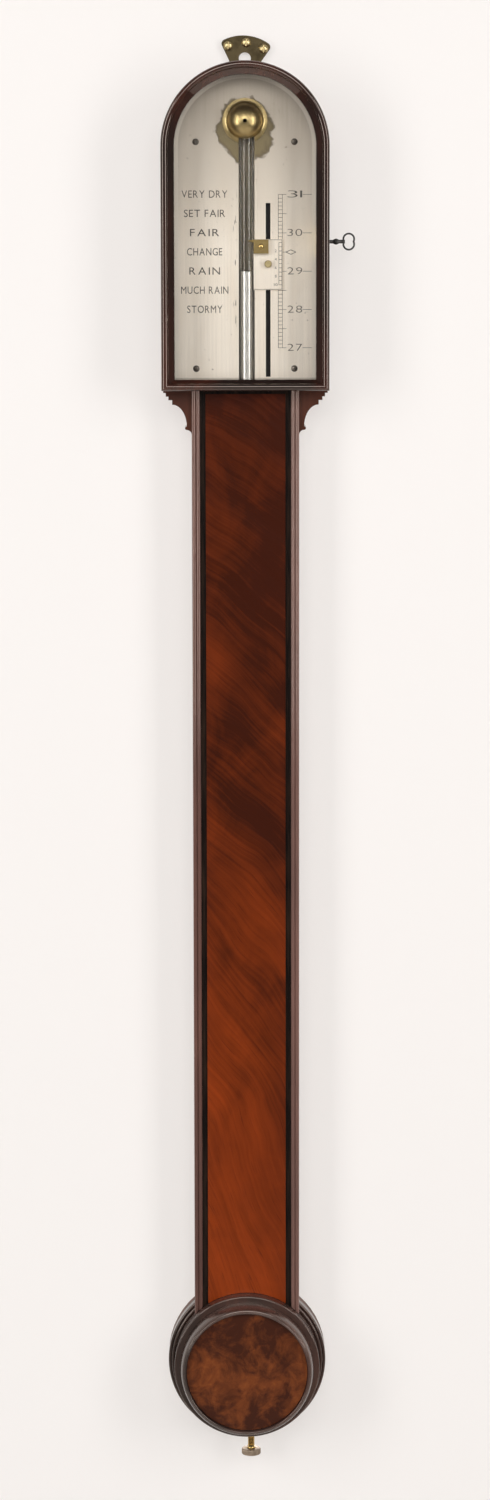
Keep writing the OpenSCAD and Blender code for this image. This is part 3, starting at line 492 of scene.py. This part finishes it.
def wax_filling():
    """Dark wax in the engraved lines, worn thin in places."""
    tints = colours()
    material, tree, shader = finish("wax_filling")
    worn = cloud(tree, place(tree), 300.0)
    colour = blend(tree, spread(tree, worn, 0.45, 0.75), tints.wax, (0.21, 0.18, 0.145))
    feed(tree, shader, Base_Color=colour, Roughness=0.6)
    return material


def dark_iron(name, tint, rough):
    """Dark iron, rubbed brighter by handling."""
    material, tree, shader = finish(name)
    rubbed = cloud(tree, place(tree), 330.0, 5.0, 0.6)
    bright = [min(1.0, part * 2.6) for part in tint]
    feed(tree, shader, Base_Color=blend(tree, spread(tree, rubbed, 0.45, 0.75), tint, bright), Metallic=0.85,
         Roughness=spread(tree, rubbed, 0.3, 0.75, rough + 0.15, rough))
    relief(tree, shader, rubbed, 0.2, 0.3 * MM)
    return material


def edge_on(tree):
    """0 where a face looks at the viewer, 1 where it is seen edge on."""
    return add(tree, "ShaderNodeLayerWeight", {"Blend": 0.35}).outputs["Facing"]


def door_pane():
    """Old glass with faint waves, clear at the middle and denser where it is seen edge on."""
    material, tree, shader = finish("door_pane")
    waves = fibres(tree, (30, 30, 9), 2.0)
    feed(tree, shader, Base_Color=(0.03, 0.03, 0.03, 1.0), IOR=1.48,
         Alpha=spread(tree, edge_on(tree), 0.0, 0.9, 0.04, 0.1),
         Roughness=spread(tree, waves, 0.3, 0.7, 0.02, 0.05))
    relief(tree, shader, waves, 0.03, 0.5 * MM)
    material.surface_render_method = "BLENDED"
    return material


def tube_glass():
    """Thick drawn glass of the tube, which spreads the mercury over its whole width."""
    material, tree, shader = finish("tube_glass")
    waves = fibres(tree, (200, 200, 1.5), 2.0)
    feed(tree, shader, Base_Color=(0.97, 0.95, 0.91, 1.0), IOR=1.36,
         Transmission_Weight=spread(tree, edge_on(tree), 0.25, 0.8, 1.0, 0.45),
         Roughness=spread(tree, waves, 0.3, 0.7, 0.01, 0.04))
    relief(tree, shader, waves, 0.03, 0.4 * MM)
    return material


def liquid_mercury():
    """Mercury: bright metal under a faint skin."""
    material, tree, shader = finish("liquid_mercury")
    skin = fibres(tree, (900, 900, 2), 3.0)
    colour = blend(tree, spread(tree, skin, 0.4, 0.75), (0.92, 0.92, 0.91), (0.76, 0.76, 0.75))
    feed(tree, shader, Base_Color=colour, Metallic=1.0,
         Roughness=spread(tree, skin, 0.3, 0.7, 0.34, 0.5))
    return material


def boxwood():
    """Turned boxwood of the cistern."""
    material, tree, shader = finish("boxwood")
    grain = fibres(tree, (300, 300, 22), 6.0)
    colour = blend(tree, spread(tree, grain, 0.35, 0.7), (0.5, 0.31, 0.13), (0.36, 0.2, 0.075))
    feed(tree, shader, Base_Color=colour, Roughness=0.48)
    relief(tree, shader, grain, 0.15, 0.3 * MM)
    return material


def bag_leather():
    """Soft tanned leather with a fine grain."""
    material, tree, shader = finish("bag_leather")
    pebbles = add(tree, "ShaderNodeTexVoronoi", {"Vector": place(tree), "Scale": 1300.0})
    patches = cloud(tree, place(tree), 120.0)
    colour = blend(tree, spread(tree, patches, 0.35, 0.7), (0.33, 0.19, 0.1), (0.22, 0.115, 0.055))
    feed(tree, shader, Base_Color=colour, Roughness=0.72)
    relief(tree, shader, pebbles.outputs["Distance"], 0.3, 0.3 * MM)
    return material


def plaster():
    """Plaster of the backdrops: part lit, part its own white, and nothing from behind or to a lamp."""
    tints = colours()
    material, tree, shader = finish("plaster")
    patches = cloud(tree, place(tree), 3.0, 3.0)
    tint = blend(tree, spread(tree, patches, 0.3, 0.7, 0.0, 0.25), tints.wall, (0.91, 0.865, 0.835))
    feed(tree, shader, Base_Color=tint, Roughness=0.9)
    ray = add(tree, "ShaderNodeLightPath").outputs
    seen = sums(tree, "ADD", ray["Is Camera Ray"], ray["Is Glossy Ray"])
    seen = sums(tree, "MAXIMUM", seen, ray["Is Transmission Ray"])
    white = add(tree, "ShaderNodeEmission", {"Color": (0.955, 0.913, 0.882, 1.0), "Strength": 1.0})
    lifted = add(tree, "ShaderNodeMixShader", {
        0: sums(tree, "MULTIPLY", seen, BACKDROP_GLOW), 1: shader.outputs["BSDF"],
        2: white.outputs["Emission"]})
    behind = add(tree, "ShaderNodeNewGeometry").outputs["Backfacing"]
    gone = add(tree, "ShaderNodeBsdfTransparent").outputs["BSDF"]
    surface = add(tree, "ShaderNodeMixShader", {
        0: sums(tree, "MAXIMUM", behind, ray["Is Shadow Ray"]), 1: lifted.outputs["Shader"], 2: gone})
    plug(tree, surface.outputs["Shader"], tree.nodes["Material Output"].inputs["Surface"])
    return material


# Modelling helpers

def piece(name, builder, material, body, smooth=30.0):
    """Makes one object from a bmesh, closes and orients it, and lets it ride on a body."""
    bmesh.ops.remove_doubles(builder, verts=builder.verts, dist=WELD)
    bmesh.ops.recalc_face_normals(builder, faces=builder.faces)
    mesh = bpy.data.meshes.new(name)
    builder.to_mesh(mesh)
    builder.free()
    mesh.materials.append(material)
    made = bpy.data.objects.new(name, mesh)
    bpy.context.scene.collection.objects.link(made)
    if smooth:
        mesh.shade_smooth()
        mesh.set_sharp_from_angle(angle=math.radians(smooth))
    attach(made, body)
    return made


def stroke(builder, left, right, low, high, face, proud):
    """One engraved line as a thin bar on a face that looks along -Y."""
    size = Vector((right - left, proud, high - low))
    middle = Vector(((left + right) / 2, face - proud / 2, (low + high) / 2))
    bmesh.ops.create_cube(builder, size=1.0, matrix=Matrix.LocRotScale(middle, None, size))


def slanted(builder, start, end, width, face, proud):
    """One engraved line between two points (x, z) of a face that looks along -Y."""
    run = Vector((end[0] - start[0], 0, end[1] - start[1]))
    middle = Vector(((start[0] + end[0]) / 2, face - proud / 2, (start[1] + end[1]) / 2))
    turn = Vector((1, 0, 0)).rotation_difference(run.normalized())
    size = Vector((run.length, proud, width))
    bmesh.ops.create_cube(builder, size=1.0, matrix=Matrix.LocRotScale(middle, turn, size))


def turned(builder, outline, centre, steps):
    """Spins an outline of (radius, height) pairs once round a vertical axis."""
    corners = [builder.verts.new((centre[0] + r, centre[1], z)) for r, z in outline]
    edges = [builder.edges.new(pair) for pair in zip(corners, corners[1:])]
    bmesh.ops.spin(builder, geom=corners + edges, cent=(centre[0], centre[1], 0),
                   axis=(0, 0, 1), angle=math.tau, steps=steps, use_merge=True)
    bmesh.ops.remove_doubles(builder, verts=builder.verts, dist=WELD)


def letter_form(letter, size, proud, thin):
    """One letter as a bmesh that lies in the XY plane, empty for a space."""
    built = bmesh.new()
    if letter == " ":
        return built
    curve = bpy.data.curves.new(letter, "FONT")
    curve.body = letter
    curve.size = size
    curve.align_y = "CENTER"
    curve.extrude = proud / 2
    curve.resolution_u = 4
    curve.offset = -thin
    holder = bpy.data.objects.new(letter, curve)
    bpy.context.scene.collection.objects.link(holder)
    bpy.context.view_layer.update()
    mesh = bpy.data.meshes.new_from_object(holder.evaluated_get(bpy.context.evaluated_depsgraph_get()))
    bpy.data.objects.remove(holder)
    bpy.data.curves.remove(curve)
    built.from_mesh(mesh)
    bpy.data.meshes.remove(mesh)
    return built


def lettering(text, size, width, proud, middle, face, thin=0.0):
    """A word as bmeshes, one for each letter, fitted to a width at a point (x, z) of a face along -Y."""
    space, least_gap, most_gap = size * 0.2, size * 0.12, size * 0.24
    forms = [letter_form(letter, size, proud, thin) for letter in text]
    spans = []
    for form in forms:
        reach = [corner.co.x for corner in form.verts] or [0.0, space]
        spans.append((min(reach), max(reach) - min(reach)))
    total = sum(wide for start, wide in spans)
    gaps = len(text) - 1
    gap = min(most_gap, max(least_gap, (width - total) / max(1, gaps)))
    narrow = (width - gap * gaps) / total
    upright = Matrix.Rotation(math.radians(90), 4, "X")
    left = middle[0] - width / 2
    for form, (start, wide) in zip(forms, spans):
        spot = Matrix.Translation((left, face - proud / 2, middle[1]))
        shape = Matrix.Diagonal((narrow, 1, 1, 1)) @ Matrix.Translation((-start, 0, 0))
        bmesh.ops.transform(form, matrix=spot @ upright @ shape, verts=form.verts)
        left += wide * narrow + gap
    return forms


def joined(builders):
    """Gathers several bmeshes into one."""
    whole = bmesh.new()
    for each in builders:
        part = bpy.data.meshes.new("part")
        each.to_mesh(part)
        each.free()
        whole.from_mesh(part)
        bpy.data.meshes.remove(part)
    return whole


def clamp(value):
    """A value held between 0 and 1."""
    return max(0.0, min(1.0, value))


# Operators

class BAROMETER_OT_finishes(bpy.types.Operator):
    """Give every solid its finish"""

    bl_idname = "barometer.finishes"
    bl_label = "Finishes"

    def execute(self, context):
        tints = colours()
        by_slot = {
            "carcase_wood": carcase_wood(),
            "ebonised_wood": moulding_wood("ebonised_wood", tints.dark_wood, tints.red_wood, gloss=0.025),
            "stained_bed": stained_bed(),
            "polished_mahogany": moulding_wood(
                "polished_mahogany", (0.055, 0.016, 0.0095), (0.12, 0.034, 0.016), gloss=0.2),
            "black_stringing": black_stringing(),
            "flame_mahogany": flame_mahogany(),
            "burr_veneer": burr_veneer(),
            "dark_brass": brass_finish("dark_brass", tints.old_brass, (0.04, 0.030, 0.016), rough=0.34),
            "bright_brass": brass_finish("bright_brass", tints.brass, (0.38, 0.29, 0.14), rough=0.26),
            "silvered_brass": silvered_brass(),
            "blued_steel": dark_iron("blued_steel", (0.13, 0.112, 0.092), rough=0.34),
            "dark_iron": dark_iron("dark_iron", (0.045, 0.042, 0.04), rough=0.32),
            "tube_glass": tube_glass(),
            "door_pane": door_pane(),
            "mercury": liquid_mercury(),
            "boxwood": boxwood(),
            "bag_leather": bag_leather(),
        }
        # Painted sheen: the drum's wood is a lighter grey-brown than the other dark mouldings, standing in
        # for the sheen on its turned rings
        drum = moulding_wood("drum_wood_painted_sheen", (0.038, 0.026, 0.022), (0.09, 0.042, 0.032), gloss=0.17)
        by_node = {
            "dome_cap": dome_brass(),
            # Stile wood is lighter red-brown, partly its own wood and partly painted sheen of the side lamps
            # on the beads; the right stile is a still lighter copy, painted light
            "trunk_stile_left": moulding_wood(
                "stile_wood", (0.11, 0.056, 0.046), (0.19, 0.09, 0.07), gloss=0.07),
            "trunk_stile_right": moulding_wood(
                "painted_light_stile_wood", (0.165, 0.09, 0.074), (0.25, 0.13, 0.105), gloss=0.07),
            "drum_body": drum,
            "drum_cover": drum,
            "pointer_block": brass_finish("index_brass", (0.36, 0.26, 0.105), (0.2, 0.14, 0.06), rough=0.3),
        }
        for entry in frame["record"]["subparts"]:
            node = entry["node"]
            materials = frame["nodes"][node].data.materials
            materials.clear()
            materials.append(by_node.get(node, by_slot[entry["material_slot"]]))
        wax_filling()
        brass_finish("dull_brass", (0.46, 0.36, 0.27), (0.30, 0.235, 0.17), rough=0.45)
        return {"FINISHED"}


class BAROMETER_OT_scale(bpy.types.Operator):
    """Engrave the ladder of inches and tenths"""

    bl_idname = "barometer.scale"
    bl_label = "Scale"

    def execute(self, context):
        s = sizes()
        face = PLATE_LOW[1]
        half = s.cut / 2
        right = s.ladder_x
        left = right - s.ladder_w
        line_left, line_right = 38.3 * MM, 44.3 * MM
        bottom = s.top_mark - SCALE_INCHES * s.inch
        marks = bmesh.new()
        for x in (left, right):
            stroke(marks, x - half, x + half, bottom, s.top_mark, face, s.relief)
        for tenth in range(10 * SCALE_INCHES + 1):
            z = s.top_mark - tenth * s.inch / 10
            stroke(marks, left, right, z - half, z + half, face, s.relief)
        for step in range(2 * SCALE_INCHES + 1):
            z = s.top_mark - step * s.inch / 2
            stroke(marks, right, right + s.ladder_w, z - half, z + half, face, s.relief)
            if step % 2 == 0:
                stroke(marks, line_left, line_right, z - half, z + half, face, s.relief)
        # A small diamond halfway between the second inch and the third
        x, z = 30.5 * MM, s.top_mark - 1.5 * s.inch
        reach, rise = 3.3 * MM, 1.5 * MM
        points = [(x - reach, z), (x, z + rise), (x + reach, z), (x, z - rise)]
        for start, end in zip(points, points[1:] + points[:1]):
            slanted(marks, start, end, s.cut * 1.4, face, s.relief)
        piece("scale_marks", marks, bpy.data.materials["wax_filling"], "case", 0)
        return {"FINISHED"}


class BAROMETER_OT_lettering(bpy.types.Operator):
    """Engrave the numerals and the weather words"""

    bl_idname = "barometer.lettering"
    bl_label = "Lettering"

    def execute(self, context):
        s = sizes()
        face = PLATE_LOW[1]
        wax = bpy.data.materials["wax_filling"]
        numeral_x, numeral_w, thin = 33.1 * MM, 9.8 * MM, 0.1 * MM
        word_x = -27 * MM
        numerals = []
        for step in range(SCALE_INCHES + 1):
            spot = (numeral_x, s.top_mark - step * s.inch)
            numerals += lettering(str(SCALE_TOP - step), s.numeral_h, numeral_w, s.relief, spot, face, thin)
        piece("numerals", joined(numerals), wax, "case", 0)
        words = []
        for step, (word, width) in enumerate(WEATHER):
            spot = (word_x, s.top_mark - step * s.inch / 2)
            words += lettering(word, s.word_h, width, s.relief, spot, face)
        piece("weather_words", joined(words), wax, "case", 0)
        return {"FINISHED"}


class BAROMETER_OT_vernier(bpy.types.Operator):
    """Engrave the vernier and screw down its index"""

    bl_idname = "barometer.vernier"
    bl_label = "Vernier"

    def execute(self, context):
        s = sizes()
        face = VERNIER_LOW[1]
        half = s.cut / 2
        margin = 0.4 * MM
        left, right = VERNIER_LOW[0] + margin, VERNIER_HIGH[0] - margin
        low, high = VERNIER_LOW[2] + margin, VERNIER_HIGH[2] - margin
        wax = bpy.data.materials["wax_filling"]
        rail = right - 2.0 * MM
        top = high - 1.8 * MM
        # Ten steps of the vernier stand for eleven tenths of an inch
        steps = 10
        step = s.inch * 0.11
        marks = bmesh.new()
        for x in (rail, right):
            stroke(marks, x - half, x + half, top - steps * step, top, face, s.relief)
        for z in (low, high):
            stroke(marks, left, right, z - half, z + half, face, s.relief)
        stroke(marks, right - half, right + half, low, high, face, s.relief)
        for tick in range(steps + 1):
            z = top - tick * step
            stroke(marks, rail, right, z - half, z + half, face, s.relief)
        piece("vernier_marks", marks, wax, "vernier", 0)
        figure_h, figure_w, figure_gap = 2.6 * MM, 1.2 * MM, 2.1 * MM
        figures = []
        for tick in range(2, steps + 1, 2):
            figure = str(tick)
            spot = (rail - figure_gap, top - tick * step)
            figures += lettering(figure, figure_h, figure_w * len(figure), s.relief, spot, face)
        piece("vernier_figures", joined(figures), wax, "vernier", 0)
        button_r, button_h, button_x = 1.7 * MM, 0.9 * MM, 2.2 * MM
        bends = [math.radians(angle) for angle in range(15, 91, 15)]
        dome = [(button_r * math.cos(bend), button_h * math.sin(bend)) for bend in bends]
        button = bmesh.new()
        turned(button, [(0, 0), (button_r, 0)] + dome, (0, 0), 32)
        block = centre_of(BLOCK_LOW, BLOCK_HIGH)
        spot = Matrix.Translation((block[0] + button_x, BLOCK_LOW[1], block[2]))
        turn = Matrix.Rotation(math.radians(90), 4, "X")
        bmesh.ops.transform(button, matrix=spot @ turn, verts=button.verts)
        piece("index_button", button, bpy.data.materials["bright_brass"], "vernier")
        return {"FINISHED"}


class BAROMETER_OT_portable_screw(bpy.types.Operator):
    """Turn the knurled portable screw"""

    bl_idname = "barometer.portable_screw"
    bl_label = "Portable screw"

    def execute(self, context):
        s = sizes()
        low, high = SCREW_LOW, SCREW_HIGH
        centre = centre_of(low, high)
        r = (high[0] - low[0]) / 2
        floor = low[2]
        head = floor + 4.4 * MM
        shank = 2.4 * MM
        pitch, groove = 1.0 * MM, 0.3 * MM
        # Rounded edges of the head, as distances in from its side and from its end
        rounding = ((0.9 * MM, 0.0), (0.3 * MM, 0.3 * MM), (0.0, 0.8 * MM))
        outline = [(0, floor + 0.2 * MM), (r * 0.5, floor + 0.1 * MM)]
        outline += [(r - side, floor + end) for side, end in rounding]
        outline += [(r - side, head - end) for side, end in reversed(rounding)]
        outline += [(shank + 0.9 * MM, head), (shank + 0.2 * MM, head + 0.4 * MM), (shank, head + 0.9 * MM)]
        thread = head + 2.2 * MM
        while thread < high[2] - 1.2 * MM:
            outline += [(shank, thread), (shank - groove, thread + pitch * 0.5)]
            thread += pitch
        outline += [(shank, high[2] - 0.6 * MM), (shank - 0.5 * MM, high[2]), (0, high[2])]
        screw = bmesh.new()
        turned(screw, outline, centre, 2 * s.knurls)
        knurl_depth = 0.045
        for corner in screw.verts:
            across = Vector((corner.co.x - centre[0], corner.co.y - centre[1]))
            turn = round(math.atan2(across.y, across.x) / math.tau * 2 * s.knurls)
            if across.length > r - 0.1 * MM and turn % 2:
                corner.co.x -= across.x * knurl_depth
                corner.co.y -= across.y * knurl_depth
        made = piece("portable_screw", screw, bpy.data.materials["bright_brass"], "screw")
        made.data.materials.append(bpy.data.materials["dull_brass"])
        for face in made.data.polygons:
            if face.center.z < head + 0.1 * MM:
                face.material_index = 1
        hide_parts("cistern_screw")
        return {"FINISHED"}


class BAROMETER_OT_bag(bpy.types.Operator):
    """Gather the leather bag under the cistern"""

    bl_idname = "barometer.bag"
    bl_label = "Leather bag"

    def execute(self, context):
        s = sizes()
        low, high = BAG_LOW, BAG_HIGH
        centre = centre_of(low, high)
        r = (high[0] - low[0]) / 2
        floor = low[2]
        mouth = BOX_LOW[2]
        wall = 0.9 * MM
        outside = [(0, floor + 0.1 * MM), (r * 0.45, floor), (r * 0.66, floor + 0.3 * MM),
                   (r * 0.8, floor + 1.6 * MM), (r * 0.87, floor + 4.2 * MM), (r * 0.92, floor + 7.5 * MM),
                   (r * 0.97, mouth - 2.0 * MM), (r * 0.99, mouth), (r, mouth + 1.0 * MM), (r, high[2])]
        inside = [(r - wall, high[2]), (r - wall, mouth + 0.5 * MM), (r * 0.9, mouth - 2.5 * MM),
                  (r * 0.82, floor + 6.5 * MM), (r * 0.74, floor + 2.8 * MM),
                  (r * 0.6, floor + 1.4 * MM), (0, floor + 1.2 * MM)]
        bag = bmesh.new()
        turned(bag, outside + inside, centre, 8 * s.pleats)
        pleat_depth, fade = 0.05, 4.0 * MM
        for corner in bag.verts:
            across = Vector((corner.co.x - centre[0], corner.co.y - centre[1]))
            share = clamp((mouth - corner.co.z) / fade) * clamp((corner.co.z - floor - 0.5 * MM) / fade)
            fold = pleat_depth * share * (math.cos(s.pleats * math.atan2(across.y, across.x)) - 1.0)
            corner.co.x += across.x * fold
            corner.co.y += across.y * fold
        made = piece("gathered_bag", bag, bpy.data.materials["bag_leather"], "case", 60)
        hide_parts("leather_bag")
        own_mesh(made)
        return {"FINISHED"}


class BAROMETER_OT_stage(bpy.types.Operator):
    """Set the wall, the floor, the lights and the camera"""

    bl_idname = "barometer.stage"
    bl_label = "Stage"

    def execute(self, context):
        scene = context.scene
        scene.view_settings.view_transform = "Standard"
        material = plaster()
        for name, spot, turn, size in BACKDROPS:
            built = bmesh.new()
            where = Matrix.Translation(spot) @ Matrix.Rotation(math.radians(turn), 4, "X")
            bmesh.ops.create_grid(built, x_segments=1, y_segments=1, size=size, matrix=where)
            mesh = bpy.data.meshes.new(name)
            built.to_mesh(mesh)
            built.free()
            mesh.materials.append(material)
            made = bpy.data.objects.new(name, mesh)
            scene.collection.objects.link(made)
        world = bpy.data.worlds.new("studio")
        world.use_nodes = True
        tree = world.node_tree
        room = tree.nodes["Background"].inputs
        looked_at = add(tree, "ShaderNodeLightPath").outputs["Is Camera Ray"]
        plug(tree, (1, 0.985, 0.97, 1), room["Color"])
        plug(tree, spread(tree, looked_at, 0.0, 1.0, ROOM_LIGHT, ROOM_SEEN), room["Strength"])
        scene.world = world
        for name, spot, size, power in LAMPS:
            lamp = bpy.data.lights.new(name, "AREA")
            lamp.shape = "RECTANGLE"
            lamp.size, lamp.size_y = size
            lamp.energy = power
            made = bpy.data.objects.new(name, lamp)
            made.location = spot
            made.rotation_euler = (Vector(LAMP_AIM) - Vector(spot)).to_track_quat("-Z", "Y").to_euler()
            scene.collection.objects.link(made)
        lens = bpy.data.cameras.new("camera")
        lens.sensor_fit = "VERTICAL"
        lens.sensor_height = CAMERA_SENSOR
        lens.lens = CAMERA_LENS
        lens.dof.use_dof = False
        camera = bpy.data.objects.new("camera", lens)
        camera.location = CAMERA_SPOT
        camera.rotation_euler = (math.radians(90 - CAMERA_DIP), math.radians(CAMERA_ROLL), 0.0)
        scene.collection.objects.link(camera)
        scene.camera = camera
        return {"FINISHED"}


OPERATORS = (
    BAROMETER_OT_finishes,
    BAROMETER_OT_scale,
    BAROMETER_OT_lettering,
    BAROMETER_OT_vernier,
    BAROMETER_OT_portable_screw,
    BAROMETER_OT_bag,
    BAROMETER_OT_stage,
)


class BAROMETER_PT_dressing(bpy.types.Panel):
    """Lists the steps that dress the barometer"""

    bl_idname = "BAROMETER_PT_dressing"
    bl_label = "Barometer"
    bl_space_type = "VIEW_3D"
    bl_region_type = "UI"
    bl_category = "Barometer"

    def draw(self, context):
        for each in OPERATORS:
            self.layout.operator(each.bl_idname)
        for group in (context.scene.barometer_sizes, context.scene.barometer_colours):
            column = self.layout.column()
            for key in group.__annotations__:
                column.prop(group, key)


CLASSES = (BarometerSizes, BarometerColours, *OPERATORS, BAROMETER_PT_dressing)


def register():
    """Registers the classes and hangs the values on the scene."""
    for each in CLASSES:
        bpy.utils.register_class(each)
    bpy.types.Scene.barometer_sizes = bpy.props.PointerProperty(type=BarometerSizes)
    bpy.types.Scene.barometer_colours = bpy.props.PointerProperty(type=BarometerColours)


def unregister():
    """Takes the values and the classes away again."""
    del bpy.types.Scene.barometer_colours
    del bpy.types.Scene.barometer_sizes
    for each in reversed(CLASSES):
        bpy.utils.unregister_class(each)


def main():
    """Dresses the barometer."""
    register()
    for each in OPERATORS:
        family, step = each.bl_idname.split(".")
        getattr(getattr(bpy.ops, family), step)()


if __name__ == "__main__":
    main()
